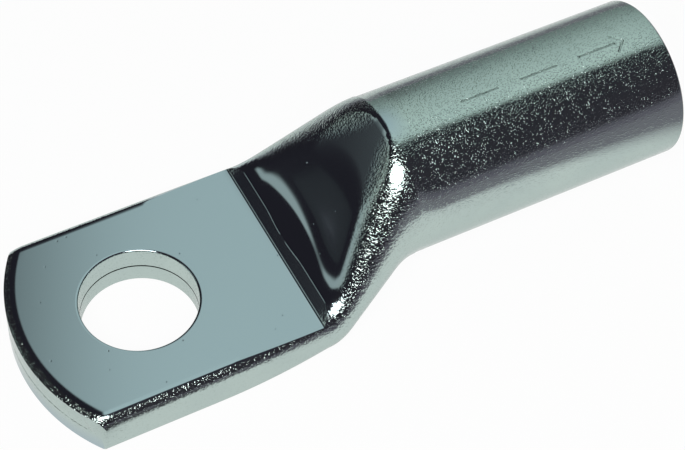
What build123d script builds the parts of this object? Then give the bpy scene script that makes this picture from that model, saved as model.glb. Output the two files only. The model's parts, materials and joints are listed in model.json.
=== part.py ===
from build123d import *
import os
from math import degrees, pi, radians, sin, tan

# Tubular compression cable lug in tinned copper, for a 95 mm2 conductor and an M12 stud.
# It is one length of round tube. One end stays round and takes the conductor. The other end is
# pressed flat, so that two tube walls lie on each other as the palm, and is then coined, sheared
# to a curved front edge and punched for the stud.
# Millimetres, +Z up. The origin is on the stud hole's axis in the palm's underside, and the
# barrel runs along +X to its open mouth.

# Barrel
BARREL_DIAMETER = 19.0       # outside of the tube
BORE_DIAMETER = 13.5         # inside of the tube
MOUTH_TO_HOLE = 65.2         # open end of the barrel to the stud hole's axis
BARREL_LIFT = 1.45           # underside of the barrel above the underside of the palm
RIM_CHAMFER = 0.3            # outer edge of the open end
MOUTH_CHAMFER = 0.8          # lead-in at the bore's mouth

# Palm
PALM_THICKNESS = 5.5
PALM_WIDTH = 26.6
PALM_FRONT = 14.45           # stud hole's axis to the middle of the front edge
PALM_STRAIGHT = 4.0          # stud hole's axis to where the sides begin to draw in
EDGE_ROUNDING = 0.95         # long edges of the palm, before coining
STUD_HOLE_DIAMETER = 13.5    # medium clearance hole for an M12 stud

# Sheared front edge
FRONT_RADIUS = 21.5          # sweep of the edge, seen from above
FRONT_CORNER = 0.8           # rounding of the shear at the two corners
SHEAR_CLEARANCE = 0.1        # how far the shear's straight sides stand off the palm's sides
ROLL_WIDTH = 1.3             # die roll: how far the shear drew the top face down, in plan
ROLL_DEPTH = 0.45            # die roll: how deep

# Neck, from the flat palm to the round barrel
NECK_START = 17.3            # stud hole's axis to where the flattened tube begins to open
NECK_END = 30.6              # stud hole's axis to where the tube is fully round
NECK_EASE = 0.25             # share of the neck over which its slope begins, and over which it ends
PRESS_SPREAD = 0.3           # how far pressing stretches the tube to each side
STEP_FOOT = 16.9             # stud hole's axis to the foot of the coined step across the palm
STEP_HEIGHT = 1.1            # how far the flattened tube stands above the coined palm
STEP_ANGLE = 49.0            # slope of the step's face, in degrees
BORE_END = 20.3              # stud hole's axis to where the bore has run out between the walls
SEAM_GAP = 0.9               # height of the slot in which it runs out

# Scoop that a rounded punch presses into the top of the neck, behind the step
SCOOP_REACH = 3.0            # brow of the step to the foot of the scoop's wall, in the middle
SCOOP_SWEEP = 24.3           # radius of that foot, seen from above
SCOOP_FLOOR = 22.0           # slope of the scoop's floor, in degrees
SCOOP_WALL = 60.0            # slope of the scoop's wall, in degrees
SCOOP_FILLET = 3.5           # between the floor and the wall

# Loft and tools
PALM_STATIONS = 8            # loft sections from the straight palm to the neck
NECK_STATIONS = 8            # loft sections from the neck to the barrel
LAST_FLAT = 0.4              # width to which the flats of a section shrink as it turns round
COIN_ALLOWANCE = 0.1         # metal above and below the palm that the dies press level
PLAY = 1.0                   # how far tools reach past the metal

BARREL_AXIS = BARREL_LIFT + BARREL_DIAMETER / 2
BLANK_HEIGHT = PALM_THICKNESS + 2 * COIN_ALLOWANCE
FLAT_HEIGHT = BLANK_HEIGHT + STEP_HEIGHT
FLAT_MIDDLE = FLAT_HEIGHT / 2 - COIN_ALLOWANCE


def pressed_half_width(diameter, height):
    """Half the width of a tube pressed to a height: its girth stays, apart from the spread."""
    return (pi * diameter - (pi - 2) * height) / 4 + PRESS_SPREAD * (1 - height / diameter)


def opened(share):
    """Rise from 0, pressed flat, to 1, fully round: straight, with both ends eased."""
    if share > 0.5:
        return 1 - opened(1 - share)
    if share < NECK_EASE:
        return share ** 2 / (2 * NECK_EASE * (1 - NECK_EASE))
    return (share - NECK_EASE / 2) / (1 - NECK_EASE)


def pressed_section(x, half_width, height, middle, corner):
    """Cross section of the pressed tube: four flats and four round corners."""
    y, z = half_width, height / 2
    flat_y, flat_z = y - corner, z - corner
    bend = corner * (1 - sin(pi / 4))
    outline = []
    for turn in (1, -1):
        near, far = turn * y, turn * flat_y
        top, low = middle + turn * z, middle + turn * flat_z
        outline += [
            Line((x, -far, top), (x, far, top)),
            ThreePointArc((x, far, top), (x, near - turn * bend, top - turn * bend), (x, near, low)),
            Line((x, near, low), (x, near, middle - turn * flat_z)),
            ThreePointArc(
                (x, near, middle - turn * flat_z),
                (x, near - turn * bend, middle - turn * (z - bend)),
                (x, far, middle - turn * z),
            ),
        ]
    return make_face(outline)


def round_section(x, diameter, middle):
    """Cross section of the round tube, split where the flats of the pressed tube run out."""
    split = degrees(LAST_FLAT / diameter)
    plane = Plane(origin=(x, 0, middle), x_dir=(0, 1, 0), z_dir=(1, 0, 0))
    outline = []
    for quarter in (90, 0, -90, -180):
        for start, sweep in ((quarter + split, 2 * split), (quarter - split, 90 - 2 * split)):
            outline.append(plane * CenterArc((0, 0), diameter / 2, start, -sweep))
    return make_face(outline)


def flattened_section(x, diameter, height, middle):
    """Cross section of a tube that is pressed to a height, with its sides fully round."""
    corner = (height - LAST_FLAT) / 2
    return pressed_section(x, pressed_half_width(diameter, height), height, middle, corner)


def neck_sections():
    """Sections of the tube from the palm, where it is flat, to where it is round."""
    sections = []
    for station in range(NECK_STATIONS):
        share = station / NECK_STATIONS
        x = NECK_START + (NECK_END - NECK_START) * share
        height = FLAT_HEIGHT + (BARREL_DIAMETER - FLAT_HEIGHT) * opened(share)
        middle = FLAT_MIDDLE + (BARREL_AXIS - FLAT_MIDDLE) * opened(share)
        sections.append(flattened_section(x, BARREL_DIAMETER, height, middle))
    sections.append(round_section(NECK_END, BARREL_DIAMETER, BARREL_AXIS))
    return sections


def palm_sections():
    """Sections of the palm from its straight sides to the neck, where its corners grow round."""
    neck_half_width = pressed_half_width(BARREL_DIAMETER, FLAT_HEIGHT)
    neck_corner = (FLAT_HEIGHT - LAST_FLAT) / 2
    sections = []
    for station in range(PALM_STATIONS):
        share = station / PALM_STATIONS
        growth = share * share
        x = PALM_STRAIGHT + (NECK_START - PALM_STRAIGHT) * share
        half_width = PALM_WIDTH / 2 + (neck_half_width - PALM_WIDTH / 2) * growth
        height = BLANK_HEIGHT + STEP_HEIGHT * growth
        corner = EDGE_ROUNDING + (neck_corner - EDGE_ROUNDING) * growth
        sections.append(pressed_section(x, half_width, height, height / 2 - COIN_ALLOWANCE, corner))
    return sections


def front_shear():
    """Tool that keeps only the metal behind the curved front edge."""
    half_width = PALM_WIDTH / 2 + SHEAR_CLEARANCE
    centre = FRONT_RADIUS - PALM_FRONT
    blade = Pos(centre, 0) * Circle(FRONT_RADIUS) & Rectangle(2 * FRONT_RADIUS, 2 * half_width)
    corners = blade.vertices().group_by(Axis.X)[0]
    blade = fillet(corners, FRONT_CORNER)
    length = MOUTH_TO_HOLE + PLAY
    width = 2 * (PALM_WIDTH + BARREL_DIAMETER)
    blade += Rectangle(length, width, align=(Align.MIN, Align.CENTER))
    height = BARREL_LIFT + BARREL_DIAMETER + 2 * PLAY
    return Pos(0, 0, -PLAY) * extrude(blade, height)


def die_roll():
    """Half ring that takes the rolled-over lip off the top of the front edge."""
    inner = FRONT_RADIUS - ROLL_WIDTH
    outer = FRONT_RADIUS + PLAY
    top = PALM_THICKNESS
    fall = ROLL_DEPTH / ROLL_WIDTH ** 2
    low = top - fall * (outer - inner) ** 2
    half_way = (inner + outer) / 2
    half_low = top - fall * (half_way - inner) ** 2
    outline = [
        ThreePointArc((inner, 0, top), (half_way, 0, half_low), (outer, 0, low)),
        Line((outer, 0, low), (outer, 0, top + PLAY)),
        Line((outer, 0, top + PLAY), (inner - PLAY, 0, top + PLAY)),
        Line((inner - PLAY, 0, top + PLAY), (inner, 0, top)),
    ]
    ring = revolve(make_face(outline), Axis.Z, 180)
    return Pos(FRONT_RADIUS - PALM_FRONT, 0, 0) * Rot(0, 0, 90) * ring


def upper_die():
    """Flat over the palm, with the sloping step at its back."""
    front = -PALM_FRONT - 2 * PLAY
    top = BARREL_LIFT + BARREL_DIAMETER
    half_width = (PALM_WIDTH + BARREL_DIAMETER) / 2
    step_top = PALM_THICKNESS + 2 * STEP_HEIGHT
    step_back = STEP_FOOT + 2 * STEP_HEIGHT / tan(radians(STEP_ANGLE))
    outline = Polyline(
        (front, -half_width, PALM_THICKNESS),
        (STEP_FOOT, -half_width, PALM_THICKNESS),
        (step_back, -half_width, step_top),
        (step_back, -half_width, top),
        (front, -half_width, top),
        close=True,
    )
    return extrude(make_face(outline), 2 * half_width, dir=(0, 1, 0))


def scoop_punch():
    """Rounded punch that presses the scoop behind the step."""
    floor_rise = tan(radians(SCOOP_FLOOR))
    wall_rise = tan(radians(SCOOP_WALL))
    step_length = STEP_HEIGHT / tan(radians(STEP_ANGLE))
    centre = STEP_FOOT + step_length + SCOOP_REACH - SCOOP_SWEEP
    foot = PALM_THICKNESS + STEP_HEIGHT + SCOOP_REACH * floor_rise
    top = BARREL_LIFT + BARREL_DIAMETER + PLAY
    inner = SCOOP_SWEEP / 2
    low = foot - (SCOOP_SWEEP - inner) * floor_rise
    outer = SCOOP_SWEEP + (top - foot) / wall_rise
    outline = Polyline((inner, low), (SCOOP_SWEEP, foot), (outer, top), (inner, top), close=True)
    profile = make_face(outline)
    nose = profile.vertices().sort_by(Axis.Y)[1]
    ring = revolve(Plane.XZ * fillet(nose, SCOOP_FILLET), Axis.Z, 180)
    behind_step = Box(2 * outer, 2 * outer, 4 * top, align=(Align.MIN, Align.CENTER, Align.CENTER))
    return Pos(centre, 0, 0) * Rot(0, 0, -90) * ring & Pos(STEP_FOOT, 0, 0) * behind_step


def lower_die():
    """Flat block under the palm."""
    length = MOUTH_TO_HOLE + PALM_FRONT
    width = PALM_WIDTH + BARREL_DIAMETER
    return Box(2 * length, width, PLAY, align=(Align.CENTER, Align.CENTER, Align.MAX))


def barrel():
    """Round part of the tube, with the outer edge of its open end broken."""
    length = MOUTH_TO_HOLE - NECK_END
    tube = Pos(NECK_END, 0, BARREL_AXIS) * Rot(0, 90, 0) * extrude(Circle(BARREL_DIAMETER / 2), length)
    rim = tube.edges().sort_by(Axis.X)[-1]
    return chamfer(rim, RIM_CHAMFER)


def bore():
    """Round bore of the barrel, with the lead-in at its mouth."""
    radius = BORE_DIAMETER / 2
    length = MOUTH_TO_HOLE - NECK_END
    mouth = radius + MOUTH_CHAMFER
    profile = Polyline(
        (0, 0), (radius, 0), (radius, length - MOUTH_CHAMFER), (mouth, length), (0, length), close=True
    )
    plug = revolve(Plane.XZ * make_face(profile), Axis.Z, 360)
    return Pos(NECK_END, 0, BARREL_AXIS) * Rot(0, 90, 0) * plug


def bore_end():
    """Inside of the neck, where the bore runs straight down into a slot between the walls."""
    slot = flattened_section(BORE_END, BORE_DIAMETER, SEAM_GAP, FLAT_MIDDLE)
    return loft([slot, round_section(NECK_END, BORE_DIAMETER, BARREL_AXIS)], ruled=True)


sections = palm_sections() + neck_sections()
palm = extrude(sections[0], PALM_STRAIGHT + PALM_FRONT + PLAY, dir=(-1, 0, 0))
stud_hole = Cylinder(STUD_HOLE_DIAMETER / 2, 4 * PALM_THICKNESS)

lug = palm + loft(sections)
lug = lug + barrel()
lug = lug & front_shear()
lug = lug - upper_die()
lug = lug - scoop_punch()
lug = lug - lower_die()
lug = lug - die_roll()
lug = lug - (bore() + bore_end())
lug = lug - stud_hole

os.makedirs("parts", exist_ok=True)
export_step(lug, "parts/cable_lug.step")
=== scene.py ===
# Cable lug in tinned copper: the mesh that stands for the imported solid, its plating and its stage.
import json
from dataclasses import dataclass
from math import asin, atan2, cos, hypot, inf, pi, radians, sin, sqrt, tan

import bmesh
import bpy
from bpy.props import FloatProperty, FloatVectorProperty, PointerProperty
from mathutils import Matrix, Vector


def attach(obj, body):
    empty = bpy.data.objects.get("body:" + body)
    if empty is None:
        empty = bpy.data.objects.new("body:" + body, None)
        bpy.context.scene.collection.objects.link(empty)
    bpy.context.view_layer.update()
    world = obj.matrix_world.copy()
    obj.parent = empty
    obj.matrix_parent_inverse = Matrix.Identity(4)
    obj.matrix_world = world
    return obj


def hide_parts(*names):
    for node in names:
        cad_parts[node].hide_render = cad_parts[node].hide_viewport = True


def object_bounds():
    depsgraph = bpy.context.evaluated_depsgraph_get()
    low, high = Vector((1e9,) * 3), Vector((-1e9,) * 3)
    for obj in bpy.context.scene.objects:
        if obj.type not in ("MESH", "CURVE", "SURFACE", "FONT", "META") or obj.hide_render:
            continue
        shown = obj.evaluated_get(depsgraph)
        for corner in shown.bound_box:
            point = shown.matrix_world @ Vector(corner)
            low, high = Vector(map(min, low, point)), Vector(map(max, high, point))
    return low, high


bl_info = {
    "name": "Tinned Cable Lug",
    "version": (1, 0, 0),
    "blender": (4, 5, 0),
    "location": "View3D > Sidebar > Cable Lug",
    "description": "Builds a tinned copper cable lug and a plain stage for it",
    "category": "Add Mesh",
}

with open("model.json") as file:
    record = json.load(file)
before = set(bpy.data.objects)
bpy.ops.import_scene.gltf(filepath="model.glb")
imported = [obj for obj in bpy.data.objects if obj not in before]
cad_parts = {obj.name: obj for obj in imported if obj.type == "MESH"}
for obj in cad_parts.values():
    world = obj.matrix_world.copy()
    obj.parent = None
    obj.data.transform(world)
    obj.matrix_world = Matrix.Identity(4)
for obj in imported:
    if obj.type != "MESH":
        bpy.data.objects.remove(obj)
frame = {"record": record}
cad_low, cad_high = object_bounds()
mounts = {mount["name"]: mount for mount in frame["record"]["mounts"]}

# Lengths are metres, as in the frame. MM turns a millimetre size into one.
MM = 0.001
BORE_MOUNT = mounts["cable_bore"]
STUD_MOUNT = mounts["stud_hole"]
BARREL_AXIS = BORE_MOUNT["pos_m"][2]

# Columns of the mesh round half a section, from the middle of its top to the middle of its bottom
FLAT_COLUMNS = 26
CORNER_COLUMNS = 12
SIDE_COLUMNS = 1
STRETCH_COLUMNS = (FLAT_COLUMNS, CORNER_COLUMNS, SIDE_COLUMNS, CORNER_COLUMNS, FLAT_COLUMNS)
HALF_COLUMNS = sum(STRETCH_COLUMNS)
COLUMNS = 2 * HALF_COLUMNS

# Rings of the mesh along the lug
FUNNEL_RINGS = 8              # from the slot to the round bore
BARREL_RINGS = 16
DASH_END_RINGS = 4            # on each side of a dash's end
ARROW_RINGS = 28
NECK_RINGS = 60
STEP_RINGS = 24               # from just behind the step's brow to its foot
FOOT_RINGS = 6                # on the fillet at that foot
PALM_RINGS = 14               # from the step to the palm's straight sides
FRONT_RINGS = 18              # from there to the die roll
ROLL_RINGS = 12
ROUNDING_STEPS = 4            # round the quarter turn of a rim

# Small forms of the mesh that nobody would resize
LAST_FLAT = 0.4 * MM          # width to which the flats of a section shrink as it turns round
NECK_EASE = 0.25              # share of the neck over which its slope begins, and over which it ends
COIN_ALLOWANCE = 0.1 * MM     # metal above and below the palm that the dies press level
FOOT_EASE = 0.12 * MM         # half the width of the fillet at the foot of the step
BROW_BAND = 0.6 * MM          # strip behind the step's brow whose rings are as close as the step's
RIM_ROUNDING = 0.3 * MM       # outer edge of the open end
ROLL_BAND = 1.25              # strip of close rings at the front, in widths of the die roll
HOLE_PATCH = 1.35             # half the patch that makes way for the stud hole, in radii of the hole
HOLE_LEVEL = 1.5              # level strip round each rim of the stud hole, in roundings of the rim
SHEARED_WIDTH = 0.55          # share of the seam's width that the shear leaves open at the front
SHEARED_DEPTH = 0.045         # share of the seam's depth there
SHEARED_REACH = 0.9           # share of the palm's width that the seam spans there
DASHES = 3
STROKE_SLOPE = 2.8            # steepness of a stroke's sides, which would meet in its middle at 2
MARK_BAND = 3.2 * MM          # half the strip of barrel whose columns are close enough for the marks
SHARP_ANGLE = radians(24)     # edges that turn by more than this stay crisp
CUT_TOLERANCE = 1e-9          # a vertex this near to a cut lies on it
MERGE_DISTANCE = 0.0005 * MM  # vertices closer than this are one

# Roundings of the neck, each where the two faces that meet differ in level by less than this
BROW_EASE = 0.03 * MM         # top of the step
SCOOP_EASE = 1.5 * MM         # foot of the scoop's wall
RIDGE_EASE = 1.0 * MM         # ridge between the scoop and the tube
RIDGE_GROWTH = 3              # distance past the step's brow in which that ridge's rounding grows by 1

# Vertex attributes that tell the plating what was done to the tube
COINED = "coined"             # 1 where the dies pressed the grain out of the surface
COIN_FADE = 3.6 * MM          # strip of the neck over which that fades
BENT = "bent"                 # 1 where bending roughened the free surface of the tube
BEND_START = 4 * MM           # how far before the barrel that roughness begins to fade
BEND_FADE = 6 * MM            # length over which it fades
PALM_BENT = 0.5               # share of that roughness on the palm's edges


def length(label, description, size):
    """A size in metres that the panel shows with its unit."""
    return FloatProperty(name=label, description=description, default=size, unit="LENGTH", precision=5)


def srgb(code):
    """Linear colour for an sRGB hex value."""
    shares = [int(code[place:place + 2], 16) / 255 for place in (1, 3, 5)]
    return tuple(s / 12.92 if s <= 0.04045 else ((s + 0.055) / 1.055) ** 2.4 for s in shares)


def colour(label, description, code):
    """A colour that the panel shows as a swatch."""
    return FloatVectorProperty(
        name=label, description=description, default=srgb(code), subtype="COLOR", min=0, max=1
    )


class LugSizes(bpy.types.PropertyGroup):
    """Sizes of the lug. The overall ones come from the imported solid."""

    barrel_diameter: length("Barrel", "Outside of the tube", 2 * (cad_high.z - BARREL_AXIS))
    bore_diameter: length("Bore", "Inside of the tube", 2 * MM * BORE_MOUNT["dims"]["r_mm"])
    mouth: length("Mouth", "Stud hole's axis to the open end", cad_high.x)
    mouth_chamfer: length("Lead-in", "Chamfer at the bore's mouth", 0.8 * MM)
    palm_thickness: length("Palm", "Thickness of the palm", MM * STUD_MOUNT["dims"]["length_mm"])
    palm_width: length("Palm width", "Width across the palm", 2 * cad_high.y)
    palm_front: length("Palm front", "Stud hole's axis to the middle of the front edge", -cad_low.x)
    palm_straight: length("Straight sides", "Stud hole's axis to where the sides draw in", 4.0 * MM)
    edge_rounding: length("Upper edges", "Rounding of the palm's long upper edges", 1.7 * MM)
    foot_rounding: length("Lower edges", "Rounding of the palm's long lower edges", 0.95 * MM)
    stud_hole: length("Stud hole", "Diameter of the stud hole", 2 * MM * STUD_MOUNT["dims"]["r_mm"])
    hole_rounding: length("Hole rim", "Rounding at both rims of the stud hole", 0.22 * MM)
    front_radius: length("Front sweep", "Radius of the front edge, seen from above", 21.5 * MM)
    front_corner: length("Front corners", "Rounding of the shear at the two corners", 0.8 * MM)
    shear_clearance: length("Shear clearance", "How far the shear stands off the palm's sides", 0.1 * MM)
    roll_width: length("Die roll width", "How far back the shear drew the top face down", 1.3 * MM)
    roll_depth: length("Die roll depth", "How deep the shear drew the top face down", 0.45 * MM)
    neck_start: length("Neck start", "Stud hole's axis to where the flat tube opens", 17.3 * MM)
    neck_end: length("Neck end", "Stud hole's axis to where the tube is round", 30.6 * MM)
    press_spread: length("Press spread", "How far pressing stretches the tube to each side", 0.3 * MM)
    step_foot: length("Step foot", "Stud hole's axis to the foot of the step", 16.9 * MM)
    step_height: length("Step height", "How far the flat tube stands above the palm", 1.1 * MM)
    step_angle: FloatProperty(
        name="Step slope", description="Slope of the step's face", default=radians(49), subtype="ANGLE"
    )
    scoop_reach: length(
        "Scoop reach", "Step's brow to the foot of the scoop's wall, in the middle", 3.0 * MM
    )
    scoop_sweep: length("Scoop sweep", "Radius of that foot, seen from above", 24.3 * MM)
    scoop_floor: FloatProperty(
        name="Scoop floor", description="Slope of the scoop's floor", default=radians(22), subtype="ANGLE"
    )
    scoop_wall: FloatProperty(
        name="Scoop wall", description="Slope of the scoop's wall", default=radians(60), subtype="ANGLE"
    )
    bore_end: length("Bore end", "Stud hole's axis to where the bore has run out", 20.3 * MM)
    slot_height: length("Slot", "Height of the slot where the bore runs out", 0.9 * MM)
    seam_level: length("Seam", "Height of the line between the two tube walls", 2.6 * MM)
    seam_width: length("Seam width", "Width of the gap between the two tube walls", 0.22 * MM)
    seam_depth: length("Seam depth", "Depth of the gap between the two tube walls", 0.8 * MM)
    mark_start: length("First dash", "Stud hole's axis to the first stamped dash", 39.3 * MM)
    mark_length: length("Dash", "Length of a stamped dash", 4.8 * MM)
    mark_pitch: length("Dash pitch", "Start of one dash to the start of the next", 7.7 * MM)
    mark_side: length("Dash offset", "How far the dashes lie to the right of the top line", 0.95 * MM)
    mark_width: length("Stroke", "Width of a stamped stroke", 0.3 * MM)
    mark_depth: length("Stroke depth", "Depth of a stamped stroke", 0.06 * MM)
    arrow_tip: length("Arrow tip", "Stud hole's axis to the arrow's tip", 60.7 * MM)
    arrow_barb: length("Arrow barb", "How far each barb reaches back and aside", 1.2 * MM)


class LugFinish(bpy.types.PropertyGroup):
    """Colours of the plating."""

    tin: colour("Tin", "Bright tin plating", "#B9C8C2")
    tin_shade: colour("Tin, shaded", "Plating where it is a little thinner", "#A9B9B6")
    coined_tin: colour("Tin, coined", "Plating where the dies smoothed it", "#A6B6BC")


class LugStage(bpy.types.PropertyGroup):
    """Colours of the stage."""

    floor: colour("Floor", "Sheet under the lug", "#F6F7F6")
    # Painted shade on the floor beyond the painted pool of light, on its paler side
    painted_pale_shade_floor: colour("Far floor", "Sheet away from the pool of light", "#8A828E")
    # Painted shade on the floor beyond the painted pool of light, on its darkest side
    painted_dark_shade_floor: colour("Dark floor", "Sheet on the unlit side of the room", "#26242A")
    room: colour("Room", "Unlit rest of the room", "#2E2A31")
    ceiling: colour("Ceiling", "Room's ceiling over the camera", "#3E3941")
    wall: colour("Wall", "Foot of the room's wall, behind the camera", "#7E7684")
    tent_low: colour("Tent, low", "Lit cloth behind the lug, near the floor", "#8C9997")
    tent_high: colour("Tent, high", "Lit cloth behind the lug, overhead", "#E6F5F2")
    window: colour("Window", "Dim window on the left, behind the lug", "#C6CFCB")


def eased(share):
    """Smooth rise from 0 to 1."""
    share = min(max(share, 0), 1)
    return share * share * (3 - 2 * share)


def opened(share):
    """Rise of the neck from 0, pressed flat, to 1, fully round: straight, with both ends eased."""
    if share > 0.5:
        return 1 - opened(1 - share)
    if share < NECK_EASE:
        return max(0, share) ** 2 / (2 * NECK_EASE * (1 - NECK_EASE))
    return (share - NECK_EASE / 2) / (1 - NECK_EASE)


def mixed(start, end, share):
    """Value part of the way from one to another."""
    return start + (end - start) * share


@dataclass
class Section:
    """Cross section of the pressed tube, with the levels at which the dies press it flat."""

    half_width: float
    height: float
    middle: float
    corner: float
    lower_corner: float
    ceiling: float = inf
    ground: float = -inf

    def __post_init__(self):
        upper = self.middle + self.height / 2
        lower = self.middle - self.height / 2
        self.top = soft_minimum(upper, self.ceiling, BROW_EASE)
        self.bottom = max(lower, self.ground)
        self.upper_centre = upper - self.corner
        self.lower_centre = lower + self.lower_corner
        self.upper_turn = asin(min(1, (self.top - self.upper_centre) / self.corner))
        self.lower_turn = asin(min(1, (self.lower_centre - self.bottom) / self.lower_corner))
        self.inset = self.half_width - self.corner
        self.lower_inset = self.half_width - self.lower_corner
        self.stretches = (
            self.inset + self.corner * cos(self.upper_turn),
            self.corner * self.upper_turn,
            self.upper_centre - self.lower_centre,
            self.lower_corner * self.lower_turn,
            self.lower_inset + self.lower_corner * cos(self.lower_turn),
        )

    def point(self, distance):
        """Place on the half outline, as (y, z), at a distance along it from the middle of the top."""
        top, upper, side, lower, bottom = self.stretches
        if distance <= top:
            return distance, self.top
        distance -= top
        if distance <= upper:
            turn = self.upper_turn - distance / self.corner
            return self.inset + self.corner * cos(turn), self.upper_centre + self.corner * sin(turn)
        distance -= upper
        if distance <= side:
            return self.half_width, self.upper_centre - distance
        distance -= side
        if distance <= lower:
            turn = distance / self.lower_corner
            y = self.lower_inset + self.lower_corner * cos(turn)
            return y, self.lower_centre - self.lower_corner * sin(turn)
        distance -= lower
        return max(0, bottom - distance), self.bottom

    def distances(self, spread):
        """Distances of the columns: at the section's own corners, or crowded on top as spread nears 1."""
        own = [0]
        for stretch, count in zip(self.stretches, STRETCH_COLUMNS):
            start = own[-1]
            own += [start + stretch * (step + 1) / count for step in range(count)]
        girth = own[-1]
        rest = HALF_COLUMNS - FLAT_COLUMNS
        crowded = [MARK_BAND * step / FLAT_COLUMNS for step in range(FLAT_COLUMNS)]
        crowded += [mixed(MARK_BAND, girth, step / rest) for step in range(rest + 1)]
        return [mixed(a, b, spread) for a, b in zip(own, crowded)]

    def outline(self, spread):
        """Places round the whole section, as (y, z), from the middle of the top and back to it."""
        half = [self.point(distance) for distance in self.distances(spread)]
        return half + [(-y, z) for y, z in half[-2:0:-1]]


def soft_minimum(one, other, ease):
    """The lower of two levels, with the corner between them rounded."""
    return min(one, other) - max(0, ease - abs(one - other)) ** 2 / (4 * ease)


def soft_maximum(one, other, ease):
    """The higher of two levels, with the corner between them filled."""
    return -soft_minimum(-one, -other, ease)


def round_section(diameter):
    """Section of the round tube."""
    return Section(diameter / 2, diameter, BARREL_AXIS, diameter / 2, diameter / 2)


def flat_height(lug):
    """Height of the flattened tube before the dies coin it."""
    return lug.palm_thickness + 2 * COIN_ALLOWANCE + lug.step_height


def flat_middle(lug):
    """Level of the seam between the walls of the flattened tube."""
    return flat_height(lug) / 2 - COIN_ALLOWANCE


def pressed_half_width(lug, diameter, height):
    """Half the width of a tube pressed to a height: its girth stays, apart from the spread."""
    return (pi * diameter - (pi - 2) * height) / 4 + lug.press_spread * (1 - height / diameter)


def neck_section(lug, x):
    """Section of the tube between the palm, where it is flat, and the barrel, where it is round."""
    share = opened((x - lug.neck_start) / (lug.neck_end - lug.neck_start))
    height = mixed(flat_height(lug), lug.barrel_diameter, share)
    middle = mixed(flat_middle(lug), BARREL_AXIS, share)
    half_width = pressed_half_width(lug, lug.barrel_diameter, height)
    corner = (height - LAST_FLAT) / 2
    return Section(half_width, height, middle, corner, corner, die_level(lug, x), 0)


def slot_section(lug):
    """Section of the slot in which the bore runs out."""
    half_width = pressed_half_width(lug, lug.bore_diameter, lug.slot_height)
    corner = (lug.slot_height - LAST_FLAT) / 2
    return Section(half_width, lug.slot_height, flat_middle(lug), corner, corner)


def palm_section(lug, x):
    """Section of the palm, whose corners grow round towards the neck."""
    share = max(0, (x - lug.palm_straight) / (lug.neck_start - lug.palm_straight))
    growth = share * share
    neck = neck_section(lug, lug.neck_start)
    height = lug.palm_thickness + 2 * COIN_ALLOWANCE + lug.step_height * growth
    half_width = mixed(lug.palm_width / 2, neck.half_width, growth)
    upper = mixed(lug.edge_rounding, neck.corner, growth)
    lower = mixed(lug.foot_rounding, neck.corner, growth)
    return Section(half_width, height, height / 2 - COIN_ALLOWANCE, upper, lower, die_level(lug, x), 0)


def die_level(lug, x):
    """Underside of the upper die: level over the palm, then the sloping face of the step."""
    past = x - lug.step_foot
    rise = tan(lug.step_angle)
    if past <= -FOOT_EASE:
        return lug.palm_thickness
    if past >= FOOT_EASE:
        return lug.palm_thickness + rise * past
    return lug.palm_thickness + rise * (past + FOOT_EASE) ** 2 / (4 * FOOT_EASE)


def step_brow(lug):
    """Where the step's face meets the top of the flattened tube."""
    return lug.step_foot + lug.step_height / tan(lug.step_angle)


def scooped(lug, x, y, z):
    """A level of the neck, pressed down where the rounded punch scooped the top of the tube."""
    past = x - step_brow(lug)
    if past <= 0 or z < lug.palm_thickness:
        return z
    out = hypot(past - lug.scoop_reach + lug.scoop_sweep, y) - lug.scoop_sweep
    foot = lug.palm_thickness + lug.step_height + lug.scoop_reach * tan(lug.scoop_floor)
    floor = foot + out * tan(lug.scoop_floor)
    wall = foot + out * tan(lug.scoop_wall)
    level = soft_maximum(floor, wall, SCOOP_EASE)
    return soft_minimum(z, level, min(RIDGE_EASE, past / RIDGE_GROWTH))


def column_spread(lug, x):
    """How far the columns have moved from the corners of the flat tube to the top of the round one."""
    return eased((x - lug.neck_start) / (lug.neck_end - lug.neck_start))


def evenly(start, end, steps):
    """Stations from start to end, without the start."""
    return [mixed(start, end, (step + 1) / steps) for step in range(steps)]


def ring_at(x, outline):
    """Ring of places at a station along the lug."""
    return [Vector((x, y, z)) for y, z in outline]


def inner_rings(lug):
    """Rings from the closed end of the slot out to the mouth's lead-in."""
    slot = ring_at(lug.bore_end, slot_section(lug).outline(0))
    bore = ring_at(lug.neck_end, round_section(lug.bore_diameter).outline(1))
    rings = []
    for step in range(FUNNEL_RINGS + 1):
        rings.append([low.lerp(high, step / FUNNEL_RINGS) for low, high in zip(slot, bore)])
    for x, diameter in (
        (mixed(lug.neck_end, lug.mouth, 0.5), lug.bore_diameter),
        (lug.mouth - lug.mouth_chamfer, lug.bore_diameter),
        (lug.mouth, lug.bore_diameter + 2 * lug.mouth_chamfer),
    ):
        rings.append(ring_at(x, round_section(diameter).outline(1)))
    return rings


def quarter_turns():
    """Angles round the quarter turn of a rounded rim."""
    return [pi / 2 * step / ROUNDING_STEPS for step in range(ROUNDING_STEPS + 1)]


def rim_rings(lug):
    """Rings round the outer edge of the open end."""
    rings = []
    for turn in quarter_turns():
        x = lug.mouth - RIM_ROUNDING * (1 - cos(turn))
        diameter = lug.barrel_diameter - 2 * RIM_ROUNDING * (1 - sin(turn))
        rings.append(ring_at(x, round_section(diameter).outline(1)))
    return rings


def dash_starts(lug):
    """Stations where the stamped dashes begin."""
    return [lug.mark_start + dash * lug.mark_pitch for dash in range(DASHES)]


def mark_strokes(lug):
    """Stamped strokes as pairs of ends, each (x, distance round the barrel from its top line)."""
    side = lug.mark_side
    strokes = [((start, side), (start + lug.mark_length, side)) for start in dash_starts(lug)]
    tip = (lug.arrow_tip, side)
    for turn in (1, -1):
        strokes.append((tip, (lug.arrow_tip - lug.arrow_barb, side + turn * lug.arrow_barb)))
    return strokes


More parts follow.
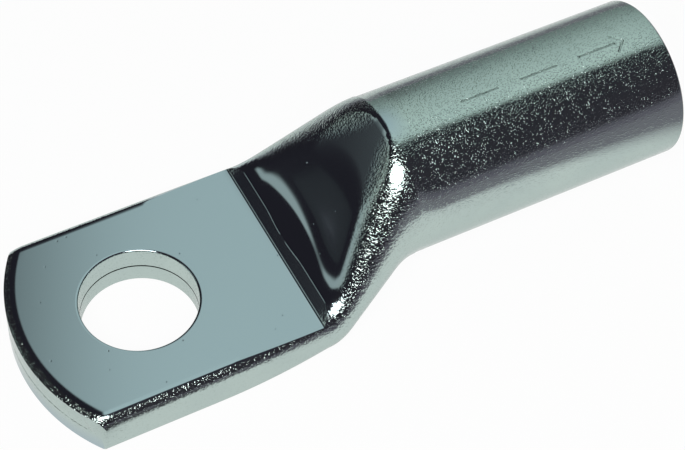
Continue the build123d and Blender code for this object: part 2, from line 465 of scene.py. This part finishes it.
def stroke_depth(lug, strokes, x, aside):
    """Depth of the stamped strokes at a place on the barrel."""
    depth = 0
    for (x0, s0), (x1, s1) in strokes:
        run = Vector((x1 - x0, s1 - s0))
        reach = Vector((x - x0, aside - s0))
        share = min(max(reach.dot(run) / run.length_squared, 0), 1)
        off = (reach - share * run).length
        depth = max(depth, lug.mark_depth * eased(STROKE_SLOPE * (0.5 - off / lug.mark_width)))
    return depth


def barrel_stations(lug):
    """Stations along the barrel from its rim to the neck, close together at the ends of the strokes."""
    steps = range(-DASH_END_RINGS, DASH_END_RINGS + 1)
    near = [step * lug.mark_width / DASH_END_RINGS for step in steps]
    stations = set(evenly(lug.mouth - RIM_ROUNDING, lug.neck_end, BARREL_RINGS))
    for start in dash_starts(lug):
        stations.update(start + step for step in near)
        stations.update(start + lug.mark_length + step for step in near)
    back = lug.arrow_tip - lug.arrow_barb
    stations.update(evenly(back - lug.mark_width, lug.arrow_tip + lug.mark_width, ARROW_RINGS))
    return sorted(stations, reverse=True)


def barrel_rings(lug):
    """Rings along the round barrel, with the strokes stamped into them."""
    strokes = mark_strokes(lug)
    radius = lug.barrel_diameter / 2
    outline = round_section(lug.barrel_diameter).outline(1)
    rings = []
    for x in barrel_stations(lug):
        ring = []
        for y, z in outline:
            turn = atan2(-y, z - BARREL_AXIS)
            left = 1 - stroke_depth(lug, strokes, x, turn * radius) / radius
            ring.append(Vector((x, y * left, BARREL_AXIS + (z - BARREL_AXIS) * left)))
        rings.append(ring)
    return rings


def neck_rings(lug):
    """Rings from the round barrel down the neck to the foot of the step."""
    behind_brow = step_brow(lug) + BROW_BAND
    stations = evenly(lug.neck_end, behind_brow, NECK_RINGS)[:-1]
    stations += evenly(behind_brow, lug.step_foot + FOOT_EASE, STEP_RINGS)
    stations += evenly(lug.step_foot + FOOT_EASE, lug.step_foot - FOOT_EASE, FOOT_RINGS)
    rings = []
    for x in stations:
        if x > lug.neck_start:
            section = neck_section(lug, x)
        else:
            section = palm_section(lug, x)
        outline = section.outline(column_spread(lug, x))
        rings.append([Vector((x, y, scooped(lug, x, y, z))) for y, z in outline])
    return rings


def front_edge(lug, y):
    """Where the sheared front lies at a place across the palm."""
    centre = lug.front_radius - lug.palm_front
    corner_y = lug.palm_width / 2 + lug.shear_clearance - lug.front_corner
    corner_arm = lug.front_radius - lug.front_corner
    touch_y = corner_y * lug.front_radius / corner_arm
    y = abs(y)
    if y <= touch_y:
        return centre - sqrt(lug.front_radius ** 2 - y * y)
    corner_x = centre - sqrt(corner_arm ** 2 - corner_y ** 2)
    return corner_x - sqrt(max(0, lug.front_corner ** 2 - (y - corner_y) ** 2))


def rolled(lug, place):
    """A place of the palm, drawn down where the shear rolled the top face over."""
    centre = lug.front_radius - lug.palm_front
    reach = hypot(place.x - centre, place.y) - lug.front_radius + lug.roll_width
    half = lug.palm_thickness / 2
    if place.x > 0 or reach <= 0 or place.z <= half:
        return place
    drop = lug.roll_depth * (reach / lug.roll_width) ** 2 * (place.z - half) / half
    return place - Vector((0, 0, drop))


def palm_rings(lug):
    """Rings from the foot of the step to the front edge, which bend to follow that edge."""
    roll_back = -lug.palm_front + ROLL_BAND * lug.roll_width
    stations = evenly(lug.step_foot - FOOT_EASE, lug.palm_straight, PALM_RINGS)
    stations += evenly(lug.palm_straight, roll_back, FRONT_RINGS)
    stations += evenly(roll_back, -lug.palm_front, ROLL_RINGS)
    rings = []
    for x in stations:
        pull = max(0, min(1, (lug.palm_straight - x) / (lug.palm_straight - roll_back)))
        ring = []
        for y, z in palm_section(lug, x).outline(0):
            bend = pull * (front_edge(lug, y) + lug.palm_front)
            ring.append(rolled(lug, Vector((x + bend, y, z))))
        rings.append(ring)
    return rings


def loop_edges(mesh, ring, closed=True):
    """Edges along a ring of vertices."""
    ends = ring[1:] + ring[:1] if closed else ring[1:]
    return [mesh.edges.get((a, b)) for a, b in zip(ring, ends)]


def swept(mesh, ring, places):
    """Extrudes a ring of edges and moves the new ring to its places."""
    grown = bmesh.ops.extrude_edge_only(mesh, edges=loop_edges(mesh, ring))["geom"]
    fresh = {item for item in grown if isinstance(item, bmesh.types.BMVert)}
    new_ring = []
    for vert, place in zip(ring, places):
        twin = next(edge.other_vert(vert) for edge in vert.link_edges if edge.other_vert(vert) in fresh)
        twin.co = place
        new_ring.append(twin)
    return new_ring


def close_front(mesh, lug, ring):
    """Front wall between the upper and the lower half of the last ring, with the seam across it."""
    turn = FLAT_COLUMNS + CORNER_COLUMNS
    upper = ring[-turn:] + ring[:turn + 1]
    lower = ring[turn + 1:-turn]
    edges = loop_edges(mesh, upper, False) + loop_edges(mesh, lower, False)
    wall = bmesh.ops.bridge_loops(mesh, edges=edges)["faces"]
    half = lug.seam_width * SHEARED_WIDTH / 2
    lip = 2 * half
    for level in (lip, half, -half, -lip):
        geom = list({item for face in wall for item in (face, *face.edges, *face.verts)})
        cut = bmesh.ops.bisect_plane(
            mesh,
            geom=geom,
            plane_co=(0, 0, lug.seam_level + level),
            plane_no=(0, 0, 1),
            dist=CUT_TOLERANCE,
        )
        wall = [item for item in cut["geom"] if isinstance(item, bmesh.types.BMFace)]
    for vert in {vert for face in wall for vert in face.verts}:
        inner = abs(vert.co.z - lug.seam_level) < (half + lip) / 2
        if inner and abs(vert.co.y) < SHEARED_REACH * lug.palm_width / 2:
            vert.co.x += lug.seam_depth * SHEARED_DEPTH


def punch_hole(mesh, lug, rings):
    """Stud hole: a patch of the palm is taken out above and below, and a round wall joins the two."""
    radius = lug.stud_hole / 2
    clear = HOLE_PATCH * radius
    patch_rings = [ring for ring in rings if abs(ring[0].co.x) < clear]
    last_column = max(k for k in range(FLAT_COLUMNS) if patch_rings[0][k].co.y < clear)
    patch = set()
    for ring in patch_rings:
        for column in range(-last_column, last_column + 1):
            patch.update((ring[column], ring[HALF_COLUMNS + column]))
    faces = {face for vert in patch for face in vert.link_faces if all(v in patch for v in face.verts)}
    bmesh.ops.delete(mesh, geom=list(faces), context="FACES")
    open_edges = [edge for edge in mesh.edges if edge.is_boundary]
    half = lug.palm_thickness / 2
    top_loop = [edge for edge in open_edges if edge.verts[0].co.z > half]
    low_loop = [edge for edge in open_edges if edge.verts[0].co.z < half]

    # Each rim is joined to its patch from half way down, where the bridge can't twist, and then moved
    first, *wall, last = hole_profile(lug)
    ring = bmesh.ops.create_circle(
        mesh, segments=len(top_loop), radius=radius, matrix=Matrix.Translation((0, 0, half))
    )["verts"]
    turns = [atan2(vert.co.y, vert.co.x) for vert in ring]
    bmesh.ops.bridge_loops(mesh, edges=top_loop + loop_edges(mesh, ring))
    move_ring(ring, circle_places(turns, *first))
    for wall_radius, level in wall:
        ring = swept(mesh, ring, circle_places(turns, wall_radius, level))
    ring = swept(mesh, ring, circle_places(turns, radius, half))
    bmesh.ops.bridge_loops(mesh, edges=low_loop + loop_edges(mesh, ring))
    move_ring(ring, circle_places(turns, *last))


def circle_places(turns, radius, level):
    """Places on a level circle round the stud hole's axis."""
    return [Vector((radius * cos(turn), radius * sin(turn), level)) for turn in turns]


def move_ring(ring, places):
    """Moves the vertices of a ring."""
    for vert, place in zip(ring, places):
        vert.co = place


def hole_profile(lug):
    """Radius and level down the wall of the stud hole: rounded rims, and the seam between the walls."""
    radius = lug.stud_hole / 2
    rim = lug.hole_rounding
    level_ring = radius + HOLE_LEVEL * rim
    half = lug.seam_width / 2
    turns = quarter_turns()
    upper = [(radius + rim * (1 - sin(t)), lug.palm_thickness - rim * (1 - cos(t))) for t in turns]
    lower = [(radius + rim * (1 - cos(t)), rim * (1 - sin(t))) for t in turns]
    seam = [
        (radius, lug.seam_level + half),
        (radius + lug.seam_depth, lug.seam_level + half),
        (radius + lug.seam_depth, lug.seam_level - half),
        (radius, lug.seam_level - half),
    ]
    return [(level_ring, lug.palm_thickness)] + upper + seam + lower + [(level_ring, 0)]


def coined_share(lug, place):
    """How far the dies smoothed the surface: the palm's faces, the step and the slope above it."""
    if place.x < lug.step_foot:
        level = min(abs(place.z), abs(place.z - lug.palm_thickness))
        return float(level < COIN_ALLOWANCE)
    section = neck_section(lug, max(place.x, lug.neck_start))
    if place.x > lug.neck_end or place.z < section.middle:
        return 0.0
    return 1 - eased((abs(place.y) - section.inset) / COIN_FADE)


def bent_share(lug, place):
    """How far bending roughened the surface: most on the neck, less on the palm's edges."""
    if place.x < lug.step_foot:
        return PALM_BENT
    return 1 - eased((place.x - lug.neck_end + BEND_START) / BEND_FADE)


def lug_mesh(lug):
    """Mesh of the whole lug: one ring swept from the slot out of the mouth, back over the barrel and
    down to the front of the palm."""
    mesh = bmesh.new()
    first, *others = inner_rings(lug) + rim_rings(lug) + barrel_rings(lug) + neck_rings(lug)
    ring = bmesh.ops.create_circle(mesh, cap_ends=True, segments=COLUMNS, radius=1)["verts"]
    move_ring(ring, first)
    for places in others:
        ring = swept(mesh, ring, places)
    palm = [ring]
    for places in palm_rings(lug):
        palm.append(swept(mesh, palm[-1], places))
    close_front(mesh, lug, palm[-1])
    punch_hole(mesh, lug, palm)
    bmesh.ops.remove_doubles(mesh, verts=mesh.verts, dist=MERGE_DISTANCE)
    bmesh.ops.recalc_face_normals(mesh, faces=mesh.faces)
    coined = mesh.verts.layers.float.new(COINED)
    bent = mesh.verts.layers.float.new(BENT)
    for vert in mesh.verts:
        vert[coined] = coined_share(lug, vert.co)
        vert[bent] = bent_share(lug, vert.co)
    for face in mesh.faces:
        face.smooth = True
    for edge in mesh.edges:
        edge.smooth = edge.calc_face_angle(0) < SHARP_ANGLE
    return mesh


def piece_from(mesh, name, finish):
    """Object at the origin with a mesh and one material."""
    data = bpy.data.meshes.new(name)
    mesh.to_mesh(data)
    mesh.free()
    piece = bpy.data.objects.new(name, data)
    bpy.context.scene.collection.objects.link(piece)
    data.materials.append(finish)
    return piece


def add_node(tree, kind, settings=None, inputs=None):
    """Adds a node, sets its properties, and fills or links its inputs."""
    node = tree.nodes.new(kind)
    for key, value in (settings or {}).items():
        setattr(node, key, value)
    for key, value in (inputs or {}).items():
        if isinstance(value, bpy.types.NodeSocket):
            tree.links.new(value, node.inputs[key])
        else:
            node.inputs[key].default_value = value
    return node


def new_material(name):
    """Empty node material and its tree."""
    material = bpy.data.materials.new(name)
    material.use_nodes = True
    material.node_tree.nodes.clear()
    return material, material.node_tree


def mix_colours(tree, share, one, other):
    """Colour part of the way from one to another."""
    node = add_node(
        tree, "ShaderNodeMix", {"data_type": "RGBA"}, {"Factor": share, "A": one, "B": other}
    )
    return node.outputs["Result"]


def calculate(tree, operation, *values):
    """Result of an operation on numbers or sockets."""
    node = add_node(tree, "ShaderNodeMath", {"operation": operation}, dict(enumerate(values)))
    return node.outputs["Value"]


def smooth_rise(tree, value, start, full):
    """Smooth rise from 0, where the value is at its start, to 1, where it is full."""
    node = add_node(
        tree, "ShaderNodeMapRange", {"interpolation_type": "SMOOTHSTEP"},
        {"Value": value, "From Min": start, "From Max": full},
    )
    return node.outputs["Result"]


def noise(tree, place, size, detail, roughness=0.5):
    """Random lumps of a size, from 0 to 1."""
    node = add_node(
        tree, "ShaderNodeTexNoise",
        inputs={"Vector": place, "Scale": 1 / size, "Detail": detail, "Roughness": roughness},
    )
    return node.outputs["Fac"]


# Grain of the plating, coarser than the real flakes and bumps, which are half as wide and too fine to show
FLAKE_SIZE = 0.16 * MM
FLAKE_HEIGHT = 0.016 * MM
FLAKE_DETAIL = 0.0
FLAKE_START = 0.55            # level of the noise at which a flake begins to rise
FLAKE_FULL = 0.77             # level at which it has its full height
PEEL_SIZE = 0.3 * MM
PEEL_HEIGHT = 0.065 * MM
PEEL_DETAIL = 1.0

# Wear, clouds and polish of the plating, at their real sizes
NICK_SPACING = 2 * MM
NICK_RADIUS = 0.14 * MM
NICK_DEPTH = 0.018 * MM
CLOUD_SIZE = 9 * MM
CLOUD_DETAIL = 3.0
CLOUD_ROUGHNESS = 0.6
PLATE_ROUGHNESS = 0.11

# Shares of red, green and blue that the plating sends back at a glancing angle
GLANCING_TINT = (0.8, 0.82, 0.81, 1)


def tin_plate(finish):
    """Tin plated on drawn copper tube: a bright grey metal with a few nicks, smooth where it was coined,
    and elsewhere set with flakes and fine bumps that break a lamp's reflection into specks."""
    material, tree = new_material("bright_tin_plate_on_copper")
    place = add_node(tree, "ShaderNodeTexCoord").outputs["Object"]
    coined = add_node(tree, "ShaderNodeAttribute", {"attribute_name": COINED}).outputs["Fac"]
    bent = add_node(tree, "ShaderNodeAttribute", {"attribute_name": BENT}).outputs["Fac"]

    # Colour: a cloudy grey, a little bluer where it was coined
    cloud = noise(tree, place, CLOUD_SIZE, CLOUD_DETAIL, CLOUD_ROUGHNESS)
    tint = mix_colours(tree, cloud, (*finish.tin, 1), (*finish.tin_shade, 1))
    tint = mix_colours(tree, coined, tint, (*finish.coined_tin, 1))

    # Skin: bright flakes that stand out of it here and there, and orange peel where the tube was bent
    flakes = noise(tree, place, FLAKE_SIZE, FLAKE_DETAIL)
    flake = smooth_rise(tree, flakes, FLAKE_START, FLAKE_FULL)
    peel = calculate(tree, "MULTIPLY", noise(tree, place, PEEL_SIZE, PEEL_DETAIL), bent)
    rise = calculate(tree, "MULTIPLY_ADD", peel, PEEL_HEIGHT / FLAKE_HEIGHT, flake)
    uncoined = calculate(tree, "SUBTRACT", 1.0, coined)
    skin = add_node(
        tree, "ShaderNodeBump", inputs={"Strength": uncoined, "Distance": FLAKE_HEIGHT, "Height": rise}
    )

    # Wear: a small nick here and there, which shows most on the smooth palm
    nicks = add_node(tree, "ShaderNodeTexVoronoi", inputs={"Vector": place, "Scale": 1 / NICK_SPACING})
    nick = smooth_rise(tree, nicks.outputs["Distance"], 0.0, NICK_RADIUS / NICK_SPACING)
    worn = add_node(
        tree, "ShaderNodeBump",
        inputs={
            "Strength": 1.0, "Distance": NICK_DEPTH, "Height": nick, "Normal": skin.outputs["Normal"],
        },
    )
    metal = add_node(
        tree, "ShaderNodeBsdfPrincipled",
        inputs={
            "Base Color": tint,
            "Metallic": 1.0,
            "Roughness": PLATE_ROUGHNESS,
            "Specular Tint": GLANCING_TINT,
            "Normal": worn.outputs["Normal"],
        },
    )
    add_node(tree, "ShaderNodeOutputMaterial", inputs={"Surface": metal.outputs["BSDF"]})
    return material


class LUG_OT_body(bpy.types.Operator):
    """Build the lug from one tube and plate it"""

    bl_idname = "lug.body"
    bl_label = "Lug"

    def execute(self, context):
        mesh = lug_mesh(context.scene.lug_sizes)
        piece = piece_from(mesh, "tinned_lug", tin_plate(context.scene.lug_finish))
        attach(piece, "root")
        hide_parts("cable_lug")
        return {"FINISHED"}


# Camera of the photograph, in millimetres and pixels of its frame
CAMERA_PLACE = (-49.2695, -125.6902, 197.5135)
CAMERA_RIGHT = (0.88481354, -0.46410361, 0.04138648)
CAMERA_UP = (0.34841384, 0.71798619, 0.60258081)
CAMERA_BACK = (-0.30937485, -0.51875204, 0.79698402)
FOCAL_PIXELS = 2095.96
IMAGE_WIDTH = 685
SENSOR_WIDTH = 36.0
CLIP_START = 1 * MM

# Lamp near the camera: where it hangs from the lug, and its size. A glow of 1 is as bright as white paper
LAMP_DIRECTION = (-0.35, -0.5, 0.79)
LAMP_DISTANCE = 0.5
LAMP_WIDTH = 0.3
LAMP_HEIGHT = 0.17
LAMP_GLOW = 11.5

# Floor
FLOOR_RADIUS = 0.45
FLOOR_SEGMENTS = 96
WHITE = (*srgb("#FFFFFF"), 1)
WHITE_SHARE = 0.95            # share of the sheet that shows as white, where the rest takes the shadow

# Patches of the floor, in places on it, and of the room, in directions from the lug. Each edge is a
# direction, and where along it the patch begins and is full
# Edges of the painted pool of light on the floor, outside which the floor shows painted shade
PAINTED_POOL_EDGES = (
    ((-0.836, 0.549, 0), -84 * MM, -62 * MM),
    ((0.927, -0.376, 0), -32 * MM, -17 * MM),
    ((0.443, 0.897, 0), -25 * MM, -16.5 * MM),
    ((-0.429, -0.903, 0), -122 * MM, -52 * MM),
)
# Edge of the painted fall of light beyond the pool, from painted dark shade to paler painted shade
PAINTED_FALLOFF_EDGES = (((0.97, 0.25, 0), -30 * MM, 45 * MM),)
TENT_EDGES = (
    ((0, 1, 0), -0.1, 0.1),
    ((0.9, -0.44, 0), -0.165, -0.035),
    ((-1, 0, 0), -0.95, -0.75),
)
TENT_TOP = 0.9                # rise of the direction in which the tent is brightest
CEILING_EDGES = (((0, -1, 0), 0, 0.3), ((1, 0, 0), -0.1, 0.25))
WALL_EDGES = (((0, -1, 0), 0, 0.4), ((0, 0, -1), -0.22, -0.04))
WINDOW_EDGES = (
    ((0, -0.7, 1), -0.17, -0.03),
    ((0, 0, -1), -0.5, -0.44),
    ((-1, 0, 0), 0.57, 0.73),
    ((0, 1, 0), 0.0, 0.2),
)


def add_camera(scene):
    """Camera at the photograph's place and angle."""
    data = bpy.data.cameras.new("camera")
    data.sensor_fit = "HORIZONTAL"
    data.sensor_width = SENSOR_WIDTH
    data.lens = FOCAL_PIXELS / IMAGE_WIDTH * SENSOR_WIDTH
    data.clip_start = CLIP_START
    camera = bpy.data.objects.new("camera", data)
    turn = Matrix((CAMERA_RIGHT, CAMERA_UP, CAMERA_BACK)).transposed().to_4x4()
    camera.matrix_world = Matrix.Translation(MM * Vector(CAMERA_PLACE)) @ turn
    scene.collection.objects.link(camera)
    scene.camera = camera


def add_lamp(scene):
    """Evenly lit panel near the camera that faces the lug."""
    data = bpy.data.lights.new("camera_lamp", "AREA")
    data.shape = "RECTANGLE"
    data.size = LAMP_WIDTH
    data.size_y = LAMP_HEIGHT
    data.energy = LAMP_GLOW * pi * LAMP_WIDTH * LAMP_HEIGHT
    lamp = bpy.data.objects.new("camera_lamp", data)
    middle = Vector(((cad_low.x + cad_high.x) / 2, 0, BARREL_AXIS))
    outward = Vector(LAMP_DIRECTION).normalized()
    turn = outward.to_track_quat("Z", "Y").to_matrix().to_4x4()
    lamp.matrix_world = Matrix.Translation(middle + outward * LAMP_DISTANCE) @ turn
    scene.collection.objects.link(lamp)


def soft_patch(tree, place, edges):
    """How far a place lies inside a patch with soft edges, from 0 to 1."""
    inside = 1.0
    for toward, start, full in edges:
        reach = add_node(tree, "ShaderNodeVectorMath", {"operation": "DOT_PRODUCT"}, {0: place, 1: toward})
        share = smooth_rise(tree, reach.outputs["Value"], start, full)
        inside = calculate(tree, "MULTIPLY", inside, share)
    return inside


def paper_with_painted_pool(stage):
    """Matt paper with a painted pool of light, white to the eye and in the metal, that takes the shadow
    and shows painted shade beyond the pool, grey on one side and dark on the other."""
    material, tree = new_material("matt_white_paper")
    place = add_node(tree, "ShaderNodeTexCoord").outputs["Object"]
    # Painted fall of light beyond the pool: painted dark shade on one side, paler painted shade on the
    # other
    lit = soft_patch(tree, place, PAINTED_FALLOFF_EDGES)
    beyond = mix_colours(tree, lit, (*stage.painted_dark_shade_floor, 1), (*stage.painted_pale_shade_floor, 1))
    # Painted pool of light: white inside its edges, painted shade outside them
    shown = mix_colours(tree, soft_patch(tree, place, PAINTED_POOL_EDGES), beyond, WHITE)
    path = add_node(tree, "ShaderNodeLightPath")
    seen = calculate(tree, "MAXIMUM", path.outputs["Is Camera Ray"], path.outputs["Is Glossy Ray"])
    seen = calculate(tree, "MAXIMUM", seen, path.outputs["Is Transmission Ray"])
    share = calculate(tree, "MULTIPLY", seen, WHITE_SHARE)
    paper = add_node(tree, "ShaderNodeBsdfDiffuse", inputs={"Color": (*stage.floor, 1)})
    # Glow of the painted pool and its painted shade, seen by camera, glossy and transmission rays
    white = add_node(tree, "ShaderNodeEmission", inputs={"Color": shown, "Strength": 1.0})
    both = add_node(
        tree, "ShaderNodeMixShader",
        inputs={0: share, 1: paper.outputs["BSDF"], 2: white.outputs["Emission"]},
    )
    add_node(tree, "ShaderNodeOutputMaterial", inputs={"Surface": both.outputs["Shader"]})
    return material


def add_floor(stage):
    """Round sheet that the lug lies on."""
    mesh = bmesh.new()
    bmesh.ops.create_circle(mesh, cap_ends=True, segments=FLOOR_SEGMENTS, radius=FLOOR_RADIUS)
    floor = piece_from(mesh, "floor", paper_with_painted_pool(stage))


def light_room(scene, stage):
    """Dim room with a paler ceiling and wall on the camera's side, a window on the left, and a lit cloth
    that rises behind the lug to overhead."""
    world = bpy.data.worlds.new("studio_room")
    world.use_nodes = True
    tree = world.node_tree
    tree.nodes.clear()
    outward = add_node(tree, "ShaderNodeTexCoord").outputs["Generated"]
    toward = add_node(tree, "ShaderNodeSeparateXYZ", inputs={0: outward})
    height = add_node(
        tree, "ShaderNodeMapRange",
        inputs={"Value": toward.outputs["Z"], "From Min": 0.0, "From Max": TENT_TOP},
    )
    cloth = mix_colours(tree, height.outputs["Result"], (*stage.tent_low, 1), (*stage.tent_high, 1))
    patches = (
        (CEILING_EDGES, (*stage.ceiling, 1)),
        (WALL_EDGES, (*stage.wall, 1)),
        (WINDOW_EDGES, (*stage.window, 1)),
        (TENT_EDGES, cloth),
    )
    view = (*stage.room, 1)
    for edges, shade in patches:
        view = mix_colours(tree, soft_patch(tree, outward, edges), view, shade)
    room = add_node(tree, "ShaderNodeBackground", inputs={"Color": view, "Strength": 1.0})
    add_node(tree, "ShaderNodeOutputWorld", inputs={"Surface": room.outputs["Background"]})
    scene.world = world


class LUG_OT_stage(bpy.types.Operator):
    """Set up the floor, the room, the lamp and the camera"""

    bl_idname = "lug.stage"
    bl_label = "Stage"

    def execute(self, context):
        scene = context.scene
        stage = scene.lug_stage
        scene.view_settings.view_transform = "Standard"
        add_floor(stage)
        light_room(scene, stage)
        add_lamp(scene)
        add_camera(scene)
        return {"FINISHED"}


class LUG_PT_sidebar(bpy.types.Panel):
    """Lists the pieces of the lug and its sizes and colours"""

    bl_idname = "LUG_PT_sidebar"
    bl_label = "Cable Lug"
    bl_space_type = "VIEW_3D"
    bl_region_type = "UI"
    bl_category = "Cable Lug"

    def draw(self, context):
        column = self.layout.column()
        for group in (context.scene.lug_sizes, context.scene.lug_finish, context.scene.lug_stage):
            for key in group.__annotations__:
                column.prop(group, key)
        for operator in (LUG_OT_body, LUG_OT_stage):
            column.operator(operator.bl_idname)


CLASSES = (LugSizes, LugFinish, LugStage, LUG_OT_body, LUG_OT_stage, LUG_PT_sidebar)


def register():
    """Adds the classes, and the settings that each scene holds."""
    for item in CLASSES:
        bpy.utils.register_class(item)
    bpy.types.Scene.lug_sizes = PointerProperty(type=LugSizes)
    bpy.types.Scene.lug_finish = PointerProperty(type=LugFinish)
    bpy.types.Scene.lug_stage = PointerProperty(type=LugStage)


def unregister():
    """Takes away what register added."""
    del bpy.types.Scene.lug_stage
    del bpy.types.Scene.lug_finish
    del bpy.types.Scene.lug_sizes
    for item in reversed(CLASSES):
        bpy.utils.unregister_class(item)


def main():
    """Builds the lug and its stage."""
    register()
    bpy.ops.lug.body()
    bpy.ops.lug.stage()


if __name__ == "__main__":
    main()
